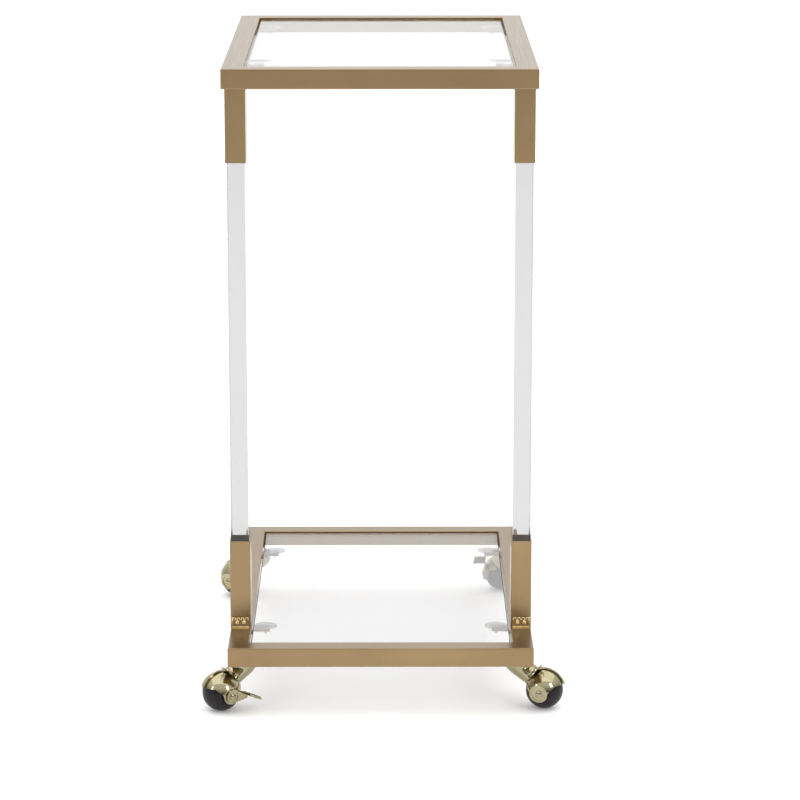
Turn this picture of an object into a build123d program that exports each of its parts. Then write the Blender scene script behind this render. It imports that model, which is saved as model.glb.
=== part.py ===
"""Bar cart with two glass shelves, two acrylic posts at one end and four hooded ball casters."""

import os
from math import cos, radians, sin

from build123d import *

# ---- driving dimensions, millimetres ----
# The origin is on the floor, at the middle of the cart's footprint with its casters at rest.
frame_x = -2.6
frame_y = -4.9

frame_width = 406.0
frame_length = 610.0
rail_width = 28.0
rail_height = 26.0
rail_wall = 1.5
rail_corner = 1.5
caster_height = 70.0
shelf_spacing = 770.0

glass_thickness = 5.0
glass_recess = 3.0
glass_gap = 2.0
glass_edge = 0.8

sleeve_width = 27.4
sleeve_depth = 50.0
sleeve_wall = 1.5
sleeve_corner = 1.2
sleeve_setback = 90.0
upper_sleeve_height = 109.0
lower_sleeve_height = 122.0
post_play = 0.1
post_corner = 1.0

screw_radius = 2.5
screw_length = 14.0
screw_head_radius = 4.8
screw_head_height = 2.4
screw_from_frame = 40.0

cleat_width = 24.0
cleat_height = 17.0
cleat_reach = 8.0
cleat_thickness = 2.0
cleat_screw_spacing = 9.0
cleat_screw_radius = 1.5
cleat_screw_head_radius = 2.6
cleat_screw_head_height = 1.5

pad_inboard = 18.0
pad_from_end = 118.0
pad_radius = 16.0
pad_height = 5.0
pad_neck_radius = 2.5
pad_bulb_radius = 3.6
pad_bulb_height = 4.0
tab_width = 12.0
tab_thickness = 2.0

swivel_from_side = 18.5
swivel_from_end = 57.0
trail = 38.0
ball_radius = 25.0
ball_flat = 21.0
core_radius = 11.0
core_half_width = 22.8
bush_radius = 5.0
axle_radius = 3.0
axle_play = 0.06
axle_head_radius = 4.4
axle_head_height = 1.6

hood_radius = 28.4
hood_wall = 2.0
hood_half_width = 25.4
crest_radius = 31.0
crest_thickness = 2.0
crest_start = -18.0
hood_ear_lip = 2.0
hood_notch_reach = 8.0
hood_outer_lip = 11.0
ear_half_width = 12.6
ear_depth = 11.0
ear_ring_outer = 9.0
ear_ring_inner = 5.4
ear_ring_depth = 0.8
collar_angle = 124.0
collar_distance = 28.6
collar_across = 15.5
collar_along = 14.0
collar_thickness = 1.4

cup_radius = 19.0
cup_thickness = 3.2
stem_radius = 4.0
stem_play = 0.06
stem_head_radius = 6.5
stem_head_height = 3.0
nut_size = 13.0
nut_height = 6.5
race_radius = 13.0
race_ball_radius = 1.25
race_ball_count = 16
race_clearance = 0.35
horn_gap = 0.4
horn_floor = 4.0
horn_cavity_radius = 8.0
horn_cavity_depth = 7.0
horn_bore_along = 4.0
horn_bore_height = 57.0
horn_bore_tilt = 42.0
horn_bore_length = 26.0

lever_clearance = 0.4
lever_thickness = 2.0
lever_hub_radius = 9.5
lever_reach = 24.0
lever_end_top = 4.8
lever_end_bottom = -2.0
hub_ring_outer = 7.8
hub_ring_inner = 5.4
hub_ring_depth = 0.7
pedal_start = 16.0
pedal_start_rise = 7.2
pedal_droop = 16.0
pedal_length = 21.0
pedal_width = 18.0
pedal_rib = 0.8
pedal_rib_count = 5

# Each caster: side along X, end along Y, heading of its trail, and its pedal's lift (None: no brake).
casters = {
    "fl": {"side": -1, "end": -1, "heading": 219.0, "pedal_lift": -10.0},
    "fr": {"side": 1, "end": -1, "heading": -22.0, "pedal_lift": None},
    "rl": {"side": -1, "end": 1, "heading": 144.0, "pedal_lift": None},
    "rr": {"side": 1, "end": 1, "heading": 96.0, "pedal_lift": 60.0},
}

# ---- levels and places that follow from them ----
bottom_frame_z = caster_height
bottom_frame_top = bottom_frame_z + rail_height
top_frame_top = bottom_frame_top + shelf_spacing
top_frame_z = top_frame_top - rail_height

half_width = frame_width / 2
half_length = frame_length / 2
inner_half_width = half_width - rail_width
front_y = frame_y - half_length
sleeve_y = front_y + sleeve_setback + sleeve_depth / 2
sleeve_offset = half_width - sleeve_width / 2

glass_drop = glass_recess + glass_thickness
pad_offset = inner_half_width - pad_inboard
tab_drop = pad_height + tab_thickness

axle_z = ball_radius
horn_top = caster_height - cup_thickness - horn_gap
horn_ceiling = horn_top - horn_floor
race_z = horn_top + horn_gap / 2
lever_face = hood_half_width + lever_clearance

lower_screw_z = bottom_frame_top + screw_from_frame
upper_screw_z = top_frame_z - screw_from_frame

sides = {"left": -1, "right": 1}


def dome_radius(base, height):
    """Radius of the sphere whose cap has this base radius and height."""
    return (base**2 + height**2) / (2 * height)


def swivel_point(caster):
    """Where the swivel axis of a caster meets the floor."""
    x = frame_x + caster["side"] * (half_width - swivel_from_side)
    y = frame_y + caster["end"] * (half_length - swivel_from_end)
    return x, y


def heading_of(caster):
    angle = radians(caster["heading"])
    return cos(angle), sin(angle)


def swivel_plane(caster):
    """Floor plane of a caster: X along the trail, origin on the swivel axis."""
    x, y = swivel_point(caster)
    along_x, along_y = heading_of(caster)
    return Plane(origin=(x, y, 0), x_dir=(along_x, along_y, 0), z_dir=(0, 0, 1))


def wheel_plane(caster):
    """Upright plane through the middle of the ball: X along the trail, Y up."""
    x, y = swivel_point(caster)
    along_x, along_y = heading_of(caster)
    centre = (x + trail * along_x, y + trail * along_y, axle_z)
    return Plane(origin=centre, x_dir=(along_x, along_y, 0), z_dir=(along_y, -along_x, 0))


def horn_section(caster, along, height, tilt):
    """Plane across the horn, tilted down towards the ball by tilt degrees."""
    upright = wheel_plane(caster)
    origin = upright.from_local_coords(Vector(along - trail, height - axle_z, 0))
    lean = radians(tilt)
    normal = upright.x_dir * sin(lean) - upright.y_dir * cos(lean)
    return Plane(origin=origin, x_dir=upright.z_dir, z_dir=normal)


# ---- shelf frames ----
def make_rail(run_angle, span, reach, base_z, stem_holes):
    """One hollow rail with 45 degree mitres; run_angle 0 is the front rail."""
    along = (cos(radians(run_angle)), sin(radians(run_angle)), 0)
    inward = (-along[1], along[0], 0)
    middle_x = frame_x - inward[0] * reach
    middle_y = frame_y - inward[1] * reach
    start = (middle_x - along[0] * span / 2, middle_y - along[1] * span / 2, base_z + rail_height / 2)
    run_plane = Plane(origin=(middle_x, middle_y, base_z), x_dir=along, z_dir=(0, 0, 1))
    with BuildPart() as rail:
        with BuildSketch(Plane(origin=start, x_dir=inward, z_dir=along)):
            RectangleRounded(rail_width, rail_height, rail_corner)
            Rectangle(rail_width - 2 * rail_wall, rail_height - 2 * rail_wall, mode=Mode.SUBTRACT)
        extrude(amount=span)
        with BuildSketch(run_plane):
            outer = span / 2
            inner = outer - rail_width
            edge = rail_width / 2
            Polygon((-outer, -edge), (outer, -edge), (inner, edge), (-inner, edge), align=None)
        extrude(amount=rail_height, mode=Mode.INTERSECT)
        if stem_holes:
            with BuildSketch(Plane.XY.offset(base_z)):
                with Locations(*stem_holes):
                    Circle(stem_radius)
            extrude(amount=rail_wall, mode=Mode.SUBTRACT)
    return rail.part


def make_glass(top_z):
    """Shelf pane with polished, lightly bevelled edges."""
    with BuildPart() as pane:
        with BuildSketch(Plane.XY.offset(top_z - glass_thickness)):
            with Locations((frame_x, frame_y)):
                Rectangle(2 * (inner_half_width - glass_gap), frame_length - 2 * (rail_width + glass_gap))
        extrude(amount=glass_thickness)
        chamfer(pane.faces().sort_by(Axis.Z)[-1].edges(), glass_edge)
        chamfer(pane.faces().sort_by(Axis.Z)[0].edges(), glass_edge)
    return pane.part


def pad_points():
    pad_y = half_length - pad_from_end
    return [(frame_x + i * pad_offset, frame_y + j * pad_y) for i in (-1, 1) for j in (-1, 1)]


def make_pads(glass_bottom):
    """Four clear suction pads: a shallow cup against the glass, a neck and a bulb below its tab."""
    with BuildPart() as pads:
        for x, y in pad_points():
            section = Plane(origin=(x, y, glass_bottom), x_dir=(1, 0, 0), z_dir=(0, -1, 0))
            with BuildSketch(section):
                with BuildLine():
                    rim = Line((0, 0), (pad_radius, 0))
                    lip = Line(rim @ 1, (pad_radius, -1.0))
                    cup = ThreePointArc(lip @ 1, (9.0, -3.0), (pad_neck_radius, -pad_height))
                    neck = Line(cup @ 1, (pad_neck_radius, -tab_drop))
                    shoulder = Line(neck @ 1, (pad_bulb_radius, -tab_drop))
                    bulb = Line(shoulder @ 1, (pad_neck_radius - 1.0, -tab_drop - pad_bulb_height))
                    base = Line(bulb @ 1, (0, -tab_drop - pad_bulb_height))
                    Line(base @ 1, rim @ 0)
                make_face()
            revolve(axis=Axis((x, y, 0), (0, 0, 1)))
    return pads.part


def make_tabs(glass_bottom):
    """Four flat tabs on the side rails that carry the pads."""
    length = pad_inboard + tab_width / 2
    with BuildPart() as tabs:
        for x, y in pad_points():
            side = 1 if x > frame_x else -1
            middle = frame_x + side * (inner_half_width - length / 2)
            with BuildSketch(Plane.XY.offset(glass_bottom - tab_drop)):
                with Locations((middle, y)):
                    Rectangle(length, tab_width)
                with Locations((x, y)):
                    Circle(pad_neck_radius, mode=Mode.SUBTRACT)
            extrude(amount=tab_thickness)
    return tabs.part


# ---- posts ----
def make_sleeve(side, base_z, height, screw_z):
    """Square-cornered tube around one end of a post, drilled at the back for its screw."""
    x = frame_x + side * sleeve_offset
    with BuildPart() as sleeve:
        with BuildSketch(Plane.XY.offset(base_z)):
            with Locations((x, sleeve_y)):
                RectangleRounded(sleeve_width, sleeve_depth, sleeve_corner)
                Rectangle(sleeve_width - 2 * sleeve_wall, sleeve_depth - 2 * sleeve_wall, mode=Mode.SUBTRACT)
        extrude(amount=height)
        with BuildSketch(Plane.XZ.offset(-(sleeve_y + sleeve_depth / 2))):
            with Locations((x, screw_z)):
                Circle(screw_radius)
        extrude(amount=sleeve_wall, mode=Mode.SUBTRACT)
    return sleeve.part


def make_post(side):
    """Clear acrylic bar that runs from the bottom frame to the top frame inside both sleeves."""
    x = frame_x + side * sleeve_offset
    inset = 2 * (sleeve_wall + post_play)
    back = sleeve_y + sleeve_depth / 2 - sleeve_wall - post_play
    with BuildPart() as post:
        with BuildSketch(Plane.XY.offset(bottom_frame_top)):
            with Locations((x, sleeve_y)):
                RectangleRounded(sleeve_width - inset, sleeve_depth - inset, post_corner)
        extrude(amount=top_frame_z - bottom_frame_top)
        with BuildSketch(Plane.XZ.offset(-back)):
            with Locations((x, lower_screw_z), (x, upper_screw_z)):
                Circle(screw_radius)
        extrude(amount=screw_length - sleeve_wall - post_play, mode=Mode.SUBTRACT)
    return post.part


def make_post_screws():
    """Button-head screws through the back of each sleeve into the acrylic."""
    back = sleeve_y + sleeve_depth / 2
    with BuildPart() as screws:
        for side in sides.values():
            for z in (lower_screw_z, upper_screw_z):
                x = frame_x + side * sleeve_offset
                with BuildSketch(Plane(origin=(x, back, z), x_dir=(0, 1, 0), z_dir=(1, 0, 0))):
                    with BuildLine():
                        shank_end = Line((-screw_length, 0), (-screw_length, screw_radius))
                        shank = Line(shank_end @ 1, (0, screw_radius))
                        seat = Line(shank @ 1, (0, screw_head_radius))
                        crown = RadiusArc(
                            seat @ 1,
                            (screw_head_height, 0),
                            dome_radius(screw_head_radius, screw_head_height),
                        )
                        Line(crown @ 1, shank_end @ 0)
                    make_face()
                revolve(axis=Axis((x, back, z), (0, 1, 0)))
    return screws.part


def cleat_screw_points():
    z = bottom_frame_top + cleat_thickness + (cleat_height - cleat_thickness) / 2
    half = cleat_screw_spacing / 2
    return [(frame_x + side * sleeve_offset + i * half, z) for side in sides.values() for i in (-1, 1)]


def make_cleats():
    """Small angle cleats that hold the foot of each lower sleeve to its side rail."""
    sleeve_front = sleeve_y - sleeve_depth / 2
    with BuildPart() as cleats:
        for side in sides.values():
            x = frame_x + side * sleeve_offset
            section = Plane(origin=(x, sleeve_front, bottom_frame_top), x_dir=(0, -1, 0), z_dir=(-1, 0, 0))
            with BuildSketch(section):
                with BuildLine():
                    Polyline(
                        (0, 0),
                        (cleat_reach, 0),
                        (cleat_reach, cleat_thickness),
                        (cleat_thickness, cleat_thickness),
                        (cleat_thickness, cleat_height),
                        (0, cleat_height),
                        close=True,
                    )
                make_face()
            extrude(amount=cleat_width / 2, both=True)
        with BuildSketch(Plane.XZ.offset(-(sleeve_front - cleat_thickness))):
            with Locations(*cleat_screw_points()):
                Circle(cleat_screw_radius)
        extrude(amount=-cleat_thickness, mode=Mode.SUBTRACT)
    return cleats.part


def make_cleat_screws():
    """Dome-head screws in the cleats."""
    face = sleeve_y - sleeve_depth / 2 - cleat_thickness
    with BuildPart() as screws:
        for x, z in cleat_screw_points():
            with BuildSketch(Plane(origin=(x, face, z), x_dir=(0, -1, 0), z_dir=(-1, 0, 0))):
                with BuildLine():
                    shank_end = Line((-cleat_thickness, 0), (-cleat_thickness, cleat_screw_radius))
                    shank = Line(shank_end @ 1, (0, cleat_screw_radius))
                    seat = Line(shank @ 1, (0, cleat_screw_head_radius))
                    crown = RadiusArc(
                        seat @ 1,
                        (cleat_screw_head_height, 0),
                        dome_radius(cleat_screw_head_radius, cleat_screw_head_height),
                    )
                    Line(crown @ 1, shank_end @ 0)
                make_face()
            revolve(axis=Axis((x, face, z), (0, 1, 0)))
    return screws.part


# ---- casters: fixed half ----
def make_stem(caster):
    """Threaded stem and kingpin in one, headed below the horn's floor."""
    base = swivel_plane(caster)
    stem_top = bottom_frame_z + rail_wall + nut_height
    head_top = horn_ceiling - race_clearance
    with BuildPart() as stem:
        with BuildSketch(base.offset(head_top)):
            Circle(stem_radius)
        extrude(amount=stem_top - head_top)
        chamfer(stem.edges().sort_by(Axis.Z)[-1], 0.8)
        with BuildSketch(base.offset(head_top - stem_head_height)):
            Circle(stem_head_radius)
        extrude(amount=stem_head_height)
        fillet(stem.edges().sort_by(Axis.Z)[0], 1.0)
    return stem.part


def make_cup(caster):
    """Fixed round cup under the rail, grooved for the bearing balls."""
    base = swivel_plane(caster)
    with BuildPart() as cup:
        with BuildSketch(base.offset(bottom_frame_z - cup_thickness)):
            Circle(cup_radius)
            Circle(stem_radius, mode=Mode.SUBTRACT)
        extrude(amount=cup_thickness)
        fillet(cup.edges().filter_by(GeomType.CIRCLE).sort_by(SortBy.RADIUS)[-2:], 0.6)
        with Locations(base.offset(race_z)):
            Torus(race_radius, race_ball_radius, mode=Mode.SUBTRACT)
    return cup.part


def make_race_balls():
    """Bearing balls of all four swivels."""
    with BuildPart() as balls:
        for caster in casters.values():
            with Locations(swivel_plane(caster).offset(race_z)):
                with PolarLocations(race_radius, race_ball_count):
                    Sphere(race_ball_radius)
    return balls.part


def make_weld_nuts():
    """Hex nuts inside the bottom side rails, one above each stem."""
    with BuildPart() as nuts:
        with BuildSketch(Plane.XY.offset(bottom_frame_z + rail_wall)):
            for caster in casters.values():
                with Locations(swivel_point(caster)):
                    RegularPolygon(nut_size / 2, 6, major_radius=False)
                    Circle(stem_radius, mode=Mode.SUBTRACT)
        extrude(amount=nut_height)
    return nuts.part


# ---- casters: swivelling half ----
def make_ball_hollow(upright):
    """Space inside the hood for the ball."""
    with BuildPart() as hollow:
        with Locations(upright):
            Sphere(hood_radius - hood_wall)
        with BuildSketch(upright):
            Circle(crest_radius)
        extrude(amount=hood_half_width - hood_wall, both=True, mode=Mode.INTERSECT)
    return hollow.part


def make_hood(caster):
    """Pressed hood: dome over the ball, crest along its middle, two ears and the horn to the swivel."""
    base = swivel_plane(caster)
    upright = wheel_plane(caster)
    hollow = make_ball_hollow(upright)
    beyond = 2 * crest_radius
    collar_lean = radians(collar_angle)
    collar_normal = upright.x_dir * cos(collar_lean) + upright.y_dir * sin(collar_lean)
    collar_plane = Plane(
        origin=upright.origin + collar_normal * collar_distance, x_dir=upright.z_dir, z_dir=collar_normal
    )
    horn_sections = [
        (horn_section(caster, 0.0, horn_top, 0.0), cup_radius, cup_radius),
        (horn_section(caster, 0.5, horn_top - 10.0, 6.0), cup_radius - 0.6, cup_radius - 0.8),
        (horn_section(caster, 10.0, 48.5, 38.0), 15.5, 14.0),
        (horn_section(caster, 24.0, 38.0, 58.0), 16.5, 12.0),
    ]
    with BuildPart() as hood:
        with Locations(upright):
            Sphere(hood_radius)
        with BuildSketch(upright):
            Circle(crest_radius + 5.0)
        extrude(amount=hood_half_width, both=True, mode=Mode.INTERSECT)
        with BuildSketch(upright):
            Circle(crest_radius)
            with Locations((crest_start, 0)):
                Rectangle(beyond, beyond, align=(Align.MAX, Align.CENTER), mode=Mode.SUBTRACT)
        extrude(amount=crest_thickness / 2, both=True)
        with BuildSketch(upright):
            with BuildLine():
                Polyline(
                    (-beyond, hood_outer_lip),
                    (-ear_half_width - hood_notch_reach, hood_outer_lip),
                    (-ear_half_width, hood_ear_lip),
                    (ear_half_width, hood_ear_lip),
                    (ear_half_width + hood_notch_reach, hood_outer_lip),
                    (beyond, hood_outer_lip),
                    (beyond, -beyond),
                    (-beyond, -beyond),
                    close=True,
                )
            make_face()
        extrude(amount=beyond, both=True, mode=Mode.SUBTRACT)
        with BuildSketch(upright):
            Ellipse(ear_half_width, ear_depth)
            Rectangle(2 * ear_half_width, hood_ear_lip, align=(Align.CENTER, Align.MIN))
        extrude(amount=hood_half_width, both=True)
        for plane, across, along in horn_sections:
            with BuildSketch(plane):
                Ellipse(across, along)
        loft()
        with BuildSketch(collar_plane):
            Ellipse(collar_across, collar_along)
        extrude(amount=collar_thickness)
        add(hollow, mode=Mode.SUBTRACT)
        with BuildSketch(base.offset(horn_ceiling)):
            Circle(horn_cavity_radius)
        extrude(amount=-horn_cavity_depth, mode=Mode.SUBTRACT)
        with BuildSketch(horn_section(caster, horn_bore_along, horn_bore_height, horn_bore_tilt)):
            Circle(horn_cavity_radius)
        extrude(amount=horn_bore_length, mode=Mode.SUBTRACT)
        with BuildSketch(base.offset(horn_top)):
            Circle(stem_radius + stem_play)
        extrude(amount=-horn_floor, mode=Mode.SUBTRACT)
        with Locations(base.offset(race_z)):
            Torus(race_radius, race_ball_radius + race_clearance, mode=Mode.SUBTRACT)
        with BuildSketch(upright):
            Circle(axle_radius)
        extrude(amount=hood_half_width + 1, both=True, mode=Mode.SUBTRACT)
        for direction in (-1, 1):
            with BuildSketch(upright.offset(direction * hood_half_width)):
                Circle(ear_ring_outer)
                Circle(ear_ring_inner, mode=Mode.SUBTRACT)
            extrude(amount=-direction * ear_ring_depth, mode=Mode.SUBTRACT)
    return hood.part


def make_axle(caster):
    """Axle rivet with a domed head at each end; it stands further out where a brake lever turns on it."""
    upright = wheel_plane(caster)
    plain_end = hood_half_width
    brake_end = hood_half_width
    if caster["pedal_lift"] is not None:
        brake_end = lever_face + lever_thickness + lever_clearance
    crown = dome_radius(axle_head_radius, axle_head_height)
    section = Plane(origin=upright.origin, x_dir=-upright.z_dir, z_dir=upright.x_dir)
    with BuildPart() as axle:
        with BuildSketch(section):
            with BuildLine():
                head = RadiusArc((brake_end + axle_head_height, 0), (brake_end, axle_head_radius), -crown)
                neck = Line(head @ 1, (brake_end, axle_radius))
                shank = Line(neck @ 1, (-plain_end, axle_radius))
                seat = Line(shank @ 1, (-plain_end, axle_head_radius))
                foot = RadiusArc(seat @ 1, (-plain_end - axle_head_height, 0), -crown)
                Line(foot @ 1, head @ 0)
            make_face()
        revolve(axis=Axis(upright.origin, upright.z_dir))
    return axle.part


def make_wheel_tread(caster):
    """Black ball tread, flat at the poles, around the hub core."""
    upright = wheel_plane(caster)
    with BuildPart() as tread:
        with Locations(upright):
            Sphere(ball_radius)
        with BuildSketch(upright):
            Circle(ball_radius + 1)
            Circle(core_radius, mode=Mode.SUBTRACT)
        extrude(amount=ball_flat, both=True, mode=Mode.INTERSECT)
    return tread.part


def make_ring(plane, outer, inner, half_length_of_ring):
    """Plain ring about the wheel's axle, used for the hub core and its bush."""
    with BuildPart() as ring:
        with BuildSketch(plane):
            Circle(outer)
            Circle(inner, mode=Mode.SUBTRACT)
        extrude(amount=half_length_of_ring, both=True)
        chamfer(ring.edges().filter_by(GeomType.CIRCLE).sort_by(SortBy.RADIUS)[-2:], 0.5)
    return ring.part


def make_brake_lever(caster):
    """Side lever on the axle; its pedal, ribbed on both faces, is folded outwards from its top edge."""
    upright = wheel_plane(caster)
    outward = -upright.z_dir
    centre = upright.origin + outward * lever_face
    lean = radians(caster["pedal_lift"])
    arm_dir = -upright.x_dir * cos(lean) + upright.y_dir * sin(lean)
    arm_up = upright.x_dir * sin(lean) + upright.y_dir * cos(lean)
    arm_plane = Plane(origin=centre, x_dir=arm_dir, z_dir=outward)
    droop = radians(pedal_droop)
    pedal_dir = arm_dir * cos(droop) - arm_up * sin(droop)
    pedal_up = arm_dir * sin(droop) + arm_up * cos(droop)
    pedal_edge = centre + arm_dir * pedal_start + arm_up * pedal_start_rise
    pedal_middle = pedal_edge + pedal_dir * (pedal_length / 2) + outward * (pedal_width / 2)
    pedal_plane = Plane(origin=pedal_middle, x_dir=pedal_dir, z_dir=pedal_up)
    with BuildPart() as lever:
        with BuildSketch(arm_plane):
            Circle(lever_hub_radius)
            with BuildLine():
                Polyline(
                    (0, lever_hub_radius),
                    (pedal_start, pedal_start_rise),
                    (lever_reach, lever_end_top),
                    (lever_reach, lever_end_bottom),
                    (0, -lever_hub_radius),
                    close=True,
                )
            make_face()
            Circle(axle_radius + axle_play, mode=Mode.SUBTRACT)
        extrude(amount=lever_thickness)
        with BuildSketch(arm_plane.offset(lever_thickness)):
            Circle(hub_ring_outer)
            Circle(hub_ring_inner, mode=Mode.SUBTRACT)
        extrude(amount=-hub_ring_depth, mode=Mode.SUBTRACT)
        with BuildSketch(pedal_plane):
            Rectangle(pedal_length, pedal_width)
        extrude(amount=-lever_thickness)
        with BuildSketch(pedal_plane.offset(-lever_thickness / 2)):
            with GridLocations(pedal_length / pedal_rib_count, 1, pedal_rib_count, 1):
                Rectangle(pedal_rib, pedal_width - 2)
        extrude(amount=lever_thickness / 2 + pedal_rib, both=True)
    return lever.part


# ---- the whole cart ----
pieces = {}

rail_runs = {
    "front": (0, frame_width, half_length - rail_width / 2),
    "right": (90, frame_length, half_width - rail_width / 2),
    "back": (180, frame_width, half_length - rail_width / 2),
    "left": (270, frame_length, half_width - rail_width / 2),
}
stems_on = {
    "left": [swivel_point(casters["fl"]), swivel_point(casters["rl"])],
    "right": [swivel_point(casters["fr"]), swivel_point(casters["rr"])],
}
for place, (run_angle, span, reach) in rail_runs.items():
    pieces[f"top_rail_{place}"] = make_rail(run_angle, span, reach, top_frame_z, [])
    pieces[f"bottom_rail_{place}"] = make_rail(run_angle, span, reach, bottom_frame_z, stems_on.get(place, []))

for shelf, frame_top in {"top": top_frame_top, "bottom": bottom_frame_top}.items():
    pieces[f"{shelf}_glass"] = make_glass(frame_top - glass_recess)
    pieces[f"{shelf}_glass_pads"] = make_pads(frame_top - glass_drop)
    pieces[f"{shelf}_pad_tabs"] = make_tabs(frame_top - glass_drop)

for side_name, side in sides.items():
    pieces[f"post_{side_name}"] = make_post(side)
    pieces[f"lower_sleeve_{side_name}"] = make_sleeve(
        side, bottom_frame_top, lower_sleeve_height, lower_screw_z
    )
    pieces[f"upper_sleeve_{side_name}"] = make_sleeve(
        side, top_frame_z - upper_sleeve_height, upper_sleeve_height, upper_screw_z
    )
pieces["post_screws"] = make_post_screws()
pieces["foot_cleats"] = make_cleats()
pieces["cleat_screws"] = make_cleat_screws()
pieces["weld_nuts"] = make_weld_nuts()
pieces["swivel_bearing_balls"] = make_race_balls()

for corner, caster in casters.items():
    pieces[f"caster_stem_{corner}"] = make_stem(caster)
    pieces[f"caster_cup_{corner}"] = make_cup(caster)
    pieces[f"caster_hood_{corner}"] = make_hood(caster)
    pieces[f"wheel_axle_{corner}"] = make_axle(caster)
    pieces[f"wheel_tread_{corner}"] = make_wheel_tread(caster)
    pieces[f"wheel_core_{corner}"] = make_ring(wheel_plane(caster), core_radius, bush_radius, core_half_width)
    pieces[f"wheel_bush_{corner}"] = make_ring(
        wheel_plane(caster), bush_radius, axle_radius + axle_play, core_half_width
    )
    if caster["pedal_lift"] is not None:
        pieces[f"brake_lever_{corner}"] = make_brake_lever(caster)

os.makedirs("parts", exist_ok=True)
for name, piece in pieces.items():
    piece.label = name
    export_step(piece, f"parts/{name}.step")

for corner, caster in casters.items():
    swivel_x, swivel_y = swivel_point(caster)
    wheel = wheel_plane(caster)
    print(corner, "swivel", swivel_x, swivel_y, "wheel centre", wheel.origin, "axle", wheel.z_dir)
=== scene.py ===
"""Looks of the bar cart: camera, procedural finishes, claws on the cleats and a soft studio."""

import math

import bmesh
import bpy
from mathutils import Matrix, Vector


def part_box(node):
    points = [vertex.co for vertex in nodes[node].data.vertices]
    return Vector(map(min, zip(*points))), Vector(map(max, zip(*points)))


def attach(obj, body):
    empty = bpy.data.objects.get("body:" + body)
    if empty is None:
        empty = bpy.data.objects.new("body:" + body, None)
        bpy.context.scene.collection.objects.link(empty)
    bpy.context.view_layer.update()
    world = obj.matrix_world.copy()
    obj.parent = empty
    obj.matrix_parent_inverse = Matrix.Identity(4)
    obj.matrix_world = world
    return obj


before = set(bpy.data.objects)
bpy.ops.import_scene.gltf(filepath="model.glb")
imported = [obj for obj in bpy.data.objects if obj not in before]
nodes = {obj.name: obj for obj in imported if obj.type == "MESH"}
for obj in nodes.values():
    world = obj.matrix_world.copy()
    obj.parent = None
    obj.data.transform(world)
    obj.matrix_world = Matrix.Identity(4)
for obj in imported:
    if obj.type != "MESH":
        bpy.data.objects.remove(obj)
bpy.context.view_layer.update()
scene = bpy.context.scene

# ---- camera, fitted to the corners of the frames and sleeves: metres, degrees and millimetres ----
CAMERA_PLACE = (0.009, -4.424, 1.396)
CAMERA_YAW = 0.195
CAMERA_PITCH = 13.16
CAMERA_LENS = 146.1

camera_data = bpy.data.cameras.new("camera")
camera_data.lens = CAMERA_LENS
camera_data.sensor_width = 36.0
camera_data.clip_end = 100.0
camera = bpy.data.objects.new("camera", camera_data)
scene.collection.objects.link(camera)
camera.location = CAMERA_PLACE
camera.rotation_euler = (math.radians(90.0 - CAMERA_PITCH), 0.0, math.radians(-CAMERA_YAW))
scene.camera = camera
scene.view_settings.view_transform = "Standard"


# ---- shader helpers ----
def new_material(name):
    """A material with its Principled shader, ready for texture nodes."""
    material = bpy.data.materials.new(name)
    material.use_nodes = True
    return material, material.node_tree, material.node_tree.nodes["Principled BSDF"]


def stretched_noise(tree, scale, detail=4.0, roughness=0.55):
    """Noise in object space with its own scale along X, Y and Z, in features per metre."""
    place = tree.nodes.new("ShaderNodeTexCoord")
    mapping = tree.nodes.new("ShaderNodeMapping")
    mapping.inputs["Scale"].default_value = scale
    noise = tree.nodes.new("ShaderNodeTexNoise")
    noise.inputs["Scale"].default_value = 1.0
    noise.inputs["Detail"].default_value = detail
    noise.inputs["Roughness"].default_value = roughness
    tree.links.new(place.outputs["Object"], mapping.inputs["Vector"])
    tree.links.new(mapping.outputs["Vector"], noise.inputs["Vector"])
    return noise.outputs["Fac"]


def remap(tree, value, low, high, start=0.3, end=0.7):
    """Spreads a noise value over a range of roughness or mixing."""
    node = tree.nodes.new("ShaderNodeMapRange")
    node.inputs["From Min"].default_value = start
    node.inputs["From Max"].default_value = end
    node.inputs["To Min"].default_value = low
    node.inputs["To Max"].default_value = high
    tree.links.new(value, node.inputs["Value"])
    return node.outputs["Result"]


def blend_colours(tree, factor, first, second):
    """Mixes two colours by a value from 0 to 1."""
    node = tree.nodes.new("ShaderNodeMix")
    node.data_type = "RGBA"
    node.inputs["A"].default_value = (*first, 1.0)
    node.inputs["B"].default_value = (*second, 1.0)
    tree.links.new(factor, node.inputs["Factor"])
    return node.outputs["Result"]


def add_bump(tree, shader, height, distance, strength):
    """Roughens the surface by a noise value; distance is in metres."""
    bump = tree.nodes.new("ShaderNodeBump")
    bump.inputs["Distance"].default_value = distance
    bump.inputs["Strength"].default_value = strength
    tree.links.new(height, bump.inputs["Height"])
    tree.links.new(bump.outputs["Normal"], shader.inputs["Normal"])


# ---- finishes ----
GRAIN_ALONG = 6.0
GRAIN_ACROSS = 900.0


def satin_brass(name, grain_axis):
    """Lacquered satin brass with a fine brushed grain along one axis and a slow drift of tone."""
    material, tree, shader = new_material(name)
    scale = [GRAIN_ACROSS] * 3
    scale[grain_axis] = GRAIN_ALONG
    grain = stretched_noise(tree, scale, detail=2.0)
    tone = stretched_noise(tree, (9.0, 9.0, 9.0), detail=3.0)
    colour = blend_colours(tree, remap(tree, tone, 0.0, 1.0), (0.262, 0.175, 0.081), (0.301, 0.202, 0.096))
    tree.links.new(colour, shader.inputs["Base Color"])
    shader.inputs["Metallic"].default_value = 1.0
    tree.links.new(remap(tree, grain, 0.28, 0.38), shader.inputs["Roughness"])
    shader.inputs["Coat Weight"].default_value = 0.5
    shader.inputs["Coat Roughness"].default_value = 0.2
    add_bump(tree, shader, grain, 0.00002, 0.25)
    return material


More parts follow.
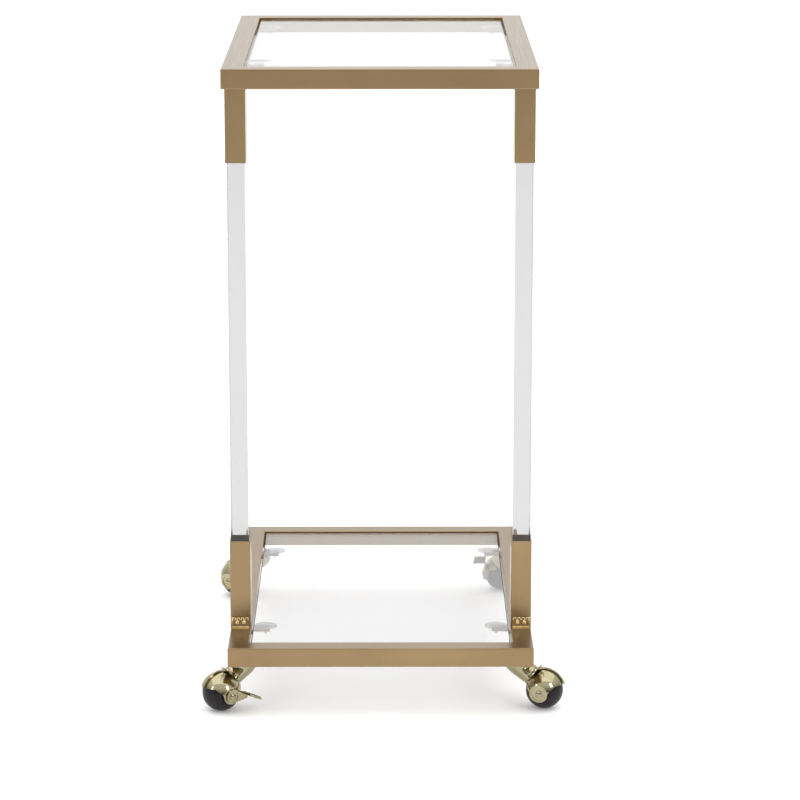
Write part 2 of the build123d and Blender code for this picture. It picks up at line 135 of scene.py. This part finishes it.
def polished_brass(name, dark, light):
    """Bright plated brass with faint wipe marks and a tone that drifts from dark to light."""
    material, tree, shader = new_material(name)
    marks = stretched_noise(tree, (160.0, 160.0, 420.0), detail=5.0)
    tone = stretched_noise(tree, (45.0, 45.0, 45.0), detail=2.0)
    colour = blend_colours(tree, remap(tree, tone, 0.0, 1.0), dark, light)
    tree.links.new(colour, shader.inputs["Base Color"])
    shader.inputs["Metallic"].default_value = 1.0
    tree.links.new(remap(tree, marks, 0.06, 0.13), shader.inputs["Roughness"])
    add_bump(tree, shader, marks, 0.00003, 0.10)
    return material


def lining_brass(name):
    """Bare, pale, unbrushed metal inside the sleeves."""
    material, tree, shader = new_material(name)
    tone = stretched_noise(tree, (120.0, 120.0, 120.0), detail=3.0)
    colour = blend_colours(tree, remap(tree, tone, 0.0, 1.0), (0.86, 0.74, 0.46), (0.93, 0.82, 0.54))
    tree.links.new(colour, shader.inputs["Base Color"])
    shader.inputs["Metallic"].default_value = 0.7
    tree.links.new(remap(tree, tone, 0.35, 0.50), shader.inputs["Roughness"])
    return material


def clear_solid(name, tint, ior, smooth, dusty):
    """Clear glass or plastic whose roughness rises a little where dust and wipe marks lie."""
    material, tree, shader = new_material(name)
    haze = stretched_noise(tree, (14.0, 14.0, 14.0), detail=6.0, roughness=0.65)
    shader.inputs["Base Color"].default_value = (*tint, 1.0)
    shader.inputs["Transmission Weight"].default_value = 1.0
    shader.inputs["IOR"].default_value = ior
    tree.links.new(remap(tree, haze, smooth, dusty, 0.5, 0.8), shader.inputs["Roughness"])
    return material


def black_rubber(name):
    """Dark rubber of the ball treads: fine pitting and scuffs."""
    material, tree, shader = new_material(name)
    pits = stretched_noise(tree, (900.0, 900.0, 900.0), detail=3.0)
    scuffs = stretched_noise(tree, (60.0, 60.0, 160.0), detail=6.0, roughness=0.7)
    factor = remap(tree, scuffs, 0.0, 1.0, 0.45, 0.75)
    colour = blend_colours(tree, factor, (0.006, 0.004, 0.006), (0.017, 0.014, 0.018))
    tree.links.new(colour, shader.inputs["Base Color"])
    tree.links.new(remap(tree, scuffs, 0.36, 0.55), shader.inputs["Roughness"])
    shader.inputs["Specular IOR Level"].default_value = 0.28
    add_bump(tree, shader, pits, 0.00006, 0.35)
    return material


def moulded_nylon(name):
    """Near-black moulded nylon of the hub cores."""
    material, tree, shader = new_material(name)
    speckle = stretched_noise(tree, (500.0, 500.0, 500.0), detail=3.0)
    factor = remap(tree, speckle, 0.0, 1.0)
    colour = blend_colours(tree, factor, (0.045, 0.045, 0.050), (0.065, 0.065, 0.070))
    tree.links.new(colour, shader.inputs["Base Color"])
    tree.links.new(remap(tree, speckle, 0.42, 0.55), shader.inputs["Roughness"])
    add_bump(tree, shader, speckle, 0.00005, 0.3)
    return material


def zinc_steel(name):
    """Zinc plate with a cloudy bloom."""
    material, tree, shader = new_material(name)
    bloom = stretched_noise(tree, (240.0, 240.0, 240.0), detail=4.0)
    colour = blend_colours(tree, remap(tree, bloom, 0.0, 1.0), (0.50, 0.50, 0.49), (0.66, 0.66, 0.64))
    tree.links.new(colour, shader.inputs["Base Color"])
    shader.inputs["Metallic"].default_value = 1.0
    tree.links.new(remap(tree, bloom, 0.22, 0.38), shader.inputs["Roughness"])
    add_bump(tree, shader, bloom, 0.00003, 0.2)
    return material


def clear_vinyl(name):
    """Slightly cloudy clear vinyl of the suction pads."""
    material, tree, shader = new_material(name)
    cloud = stretched_noise(tree, (180.0, 180.0, 180.0), detail=4.0)
    colour = blend_colours(tree, remap(tree, cloud, 0.0, 1.0), (0.46, 0.46, 0.47), (0.58, 0.58, 0.59))
    tree.links.new(colour, shader.inputs["Base Color"])
    shader.inputs["Alpha"].default_value = 0.32
    shader.inputs["IOR"].default_value = 1.45
    tree.links.new(remap(tree, cloud, 0.12, 0.28), shader.inputs["Roughness"])
    return material


brass_along_x = satin_brass("satin_brass_x", 0)
brass_along_y = satin_brass("satin_brass_y", 1)
brass_along_z = satin_brass("satin_brass_z", 2)
bright_brass = polished_brass("polished_brass", (0.325, 0.292, 0.178), (0.420, 0.380, 0.245))
warm_brass = polished_brass("warm_brass", (0.70, 0.54, 0.30), (0.82, 0.66, 0.40))
bare_brass = lining_brass("lining_brass")
shelf_glass = clear_solid("shelf_glass", (0.978, 0.978, 0.984), 1.50, 0.0, 0.03)
acrylic = clear_solid("clear_acrylic", (0.50, 0.50, 0.507), 1.49, 0.0, 0.012)
vinyl = clear_vinyl("clear_vinyl")
rubber = black_rubber("black_rubber")
nylon = moulded_nylon("hub_nylon")
zinc = zinc_steel("zinc_steel")

finish_of = {
    "top_rail_front": brass_along_x,
    "top_rail_back": brass_along_x,
    "bottom_rail_front": brass_along_x,
    "bottom_rail_back": brass_along_x,
    "top_rail_": brass_along_y,
    "bottom_rail_": brass_along_y,
    "top_pad_tabs": brass_along_x,
    "bottom_pad_tabs": brass_along_x,
    "upper_sleeve_": brass_along_z,
    "lower_sleeve_": brass_along_z,
    "foot_cleats": warm_brass,
    "top_glass_pads": vinyl,
    "bottom_glass_pads": vinyl,
    "top_glass": shelf_glass,
    "bottom_glass": shelf_glass,
    "post_screws": warm_brass,
    "post_": acrylic,
    "cleat_screws": warm_brass,
    "weld_nuts": zinc,
    "swivel_bearing_balls": zinc,
    "caster_stem_": zinc,
    "caster_": bright_brass,
    "wheel_axle_": bright_brass,
    "brake_lever_": bright_brass,
    "wheel_tread_": rubber,
    "wheel_core_": nylon,
    "wheel_bush_": zinc,
}


def finish_for(node_name):
    """The finish of the first entry that the node's name starts with."""
    for start, material in finish_of.items():
        if node_name.startswith(start):
            return material
    raise KeyError(node_name)


# The inner walls lie further than this inside the sleeve's box, in metres.
WALL_INSET = 0.001


def line_sleeve(sleeve, low, high, lining):
    """Gives the sleeve's inner walls the bare metal finish."""
    sleeve.data.materials.append(lining)
    for face in sleeve.data.polygons:
        centre = face.center
        inside_x = low.x + WALL_INSET < centre.x < high.x - WALL_INSET
        inside_y = low.y + WALL_INSET < centre.y < high.y - WALL_INSET
        if inside_x and inside_y and abs(face.normal.z) < 0.5:
            face.material_index = 1


SMOOTH_ANGLE = math.radians(28.0)
for node_name, node in nodes.items():
    node.data.materials.clear()
    node.data.materials.append(finish_for(node_name))
    node.data.shade_smooth()
    node.data.set_sharp_from_angle(angle=SMOOTH_ANGLE)
    if "sleeve" in node_name:
        line_sleeve(node, *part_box(node_name), bare_brass)


# ---- curled claws and foot beads on the cleats, in metres and degrees ----
CLAWS_PER_CLEAT = 4
CLAW_RADIUS = 0.0020
CLAW_PITCH = 0.0056
CLAW_DROP = 0.0035
CLAW_START = -25.0
CLAW_SWEEP = 230.0
CLAW_STEPS = 16
WIRE_RADIUS = 0.0007
WIRE_SIDES = 12
WIRE_SMOOTH_ANGLE = math.radians(56.0)
FLANGE = 0.0020
BEAD_HALF_LENGTH = 0.0112


def add_wire(shape, points):
    """Adds a round wire that follows points in one upright plane across the cart, with closed ends."""
    rings = []
    last = len(points) - 1
    for i, point in enumerate(points):
        along = (points[min(i + 1, last)] - points[max(i - 1, 0)]).normalized()
        side = along.cross(Vector((0.0, 1.0, 0.0)))
        ring = []
        for k in range(WIRE_SIDES):
            turn = 2.0 * math.pi * k / WIRE_SIDES
            offset = side * math.cos(turn) + Vector((0.0, math.sin(turn), 0.0))
            ring.append(shape.verts.new(point + offset * WIRE_RADIUS))
        rings.append(ring)
    for first, second in zip(rings, rings[1:]):
        for k in range(WIRE_SIDES):
            following = (k + 1) % WIRE_SIDES
            shape.faces.new((first[k], first[following], second[following], second[k]))
    shape.faces.new(rings[0])
    shape.faces.new(rings[-1])


def claw_points(centre):
    """Arch from one end of a claw to the other."""
    turns = [math.radians(CLAW_START + CLAW_SWEEP * i / CLAW_STEPS) for i in range(CLAW_STEPS + 1)]
    return [centre + Vector((math.cos(t), 0.0, math.sin(t))) * CLAW_RADIUS for t in turns]


def add_cleat_claws():
    """One piece: a row of claws and a bead along the foot of each cleat."""
    shape = bmesh.new()
    cleats_low, cleats_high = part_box("foot_cleats")
    for sleeve_name in ("lower_sleeve_left", "lower_sleeve_right"):
        low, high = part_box(sleeve_name)
        middle = (low.x + high.x) / 2
        face = low.y - FLANGE
        for i in range(CLAWS_PER_CLEAT):
            across = middle + (i - (CLAWS_PER_CLEAT - 1) / 2) * CLAW_PITCH
            add_wire(shape, claw_points(Vector((across, face, cleats_high.z - CLAW_DROP))))
        foot = cleats_low.z + FLANGE + WIRE_RADIUS
        ends = (middle - BEAD_HALF_LENGTH, middle + BEAD_HALF_LENGTH)
        add_wire(shape, [Vector((x, face, foot)) for x in ends])
    bmesh.ops.recalc_face_normals(shape, faces=shape.faces)
    mesh = bpy.data.meshes.new("cleat_claws")
    shape.to_mesh(mesh)
    shape.free()
    claws = bpy.data.objects.new("cleat_claws", mesh)
    scene.collection.objects.link(claws)
    mesh.materials.append(warm_brass)
    mesh.shade_smooth()
    mesh.set_sharp_from_angle(angle=WIRE_SMOOTH_ANGLE)
    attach(claws, "frame")


add_cleat_claws()


# ---- studio: metres and watts ----
FLOOR_REACH = 30.0
FLOOR_DROP = 0.0002
FLOOR_GLOW = 0.14


def add_floor():
    """Pale matt floor with a slight glow of its own, just below the wheels."""
    mesh = bpy.data.meshes.new("floor")
    reach = FLOOR_REACH
    corners = [(-reach, -reach, 0.0), (reach, -reach, 0.0), (reach, reach, 0.0), (-reach, reach, 0.0)]
    mesh.from_pydata(corners, [], [(0, 1, 2, 3)])
    floor = bpy.data.objects.new("floor", mesh)
    floor.location.z = -FLOOR_DROP
    scene.collection.objects.link(floor)
    material, tree, shader = new_material("pale_floor")
    mottle = stretched_noise(tree, (1.5, 1.5, 1.5), detail=2.0)
    colour = blend_colours(tree, remap(tree, mottle, 0.0, 1.0), (0.95, 0.95, 0.95), (0.97, 0.97, 0.97))
    tree.links.new(colour, shader.inputs["Base Color"])
    shader.inputs["Roughness"].default_value = 0.8
    shader.inputs["Specular IOR Level"].default_value = 0.1
    shader.inputs["Emission Color"].default_value = (1.0, 1.0, 1.0, 1.0)
    shader.inputs["Emission Strength"].default_value = FLOOR_GLOW
    mesh.materials.append(material)


def add_softbox(name, place, target, width, height, watts):
    """Rectangular lamp that faces its target."""
    data = bpy.data.lights.new(name, "AREA")
    data.shape = "RECTANGLE"
    data.size = width
    data.size_y = height
    data.energy = watts
    light = bpy.data.objects.new(name, data)
    scene.collection.objects.link(light)
    light.location = place
    light.rotation_euler = (Vector(target) - Vector(place)).to_track_quat("-Z", "Y").to_euler()


def add_world():
    """Bright overhead and behind the cart, darker low down in front of it, which the metal reflects."""
    world = bpy.data.worlds.new("studio")
    world.use_nodes = True
    scene.world = world
    tree = world.node_tree
    background = tree.nodes["Background"]
    place = tree.nodes.new("ShaderNodeTexCoord")
    split = tree.nodes.new("ShaderNodeSeparateXYZ")
    tree.links.new(place.outputs["Generated"], split.inputs["Vector"])
    height = remap(tree, split.outputs["Z"], 0.0, 1.0, 0.05, 0.60)
    depth = remap(tree, split.outputs["Y"], 0.0, 1.0, -0.3, 0.5)
    brightest = tree.nodes.new("ShaderNodeMath")
    brightest.operation = "MAXIMUM"
    tree.links.new(height, brightest.inputs[0])
    tree.links.new(depth, brightest.inputs[1])
    colour = blend_colours(tree, brightest.outputs[0], (0.05, 0.05, 0.055), (1.0, 1.0, 1.0))
    tree.links.new(colour, background.inputs["Color"])
    background.inputs["Strength"].default_value = 1.0


add_floor()
add_world()
CART_MIDDLE = (0.0, 0.0, 0.45)
OVERHEAD_PLACE = (0.0, 2.0, 5.0)
OVERHEAD_TARGET = (0.0, 2.0, 0.0)
add_softbox("key", (2.4, -2.8, 2.4), CART_MIDDLE, width=0.9, height=1.5, watts=26.0)
add_softbox("fill", (-2.8, -2.2, 1.8), CART_MIDDLE, width=0.7, height=1.4, watts=8.0)
add_softbox("overhead", OVERHEAD_PLACE, OVERHEAD_TARGET, width=9.0, height=10.0, watts=250.0)
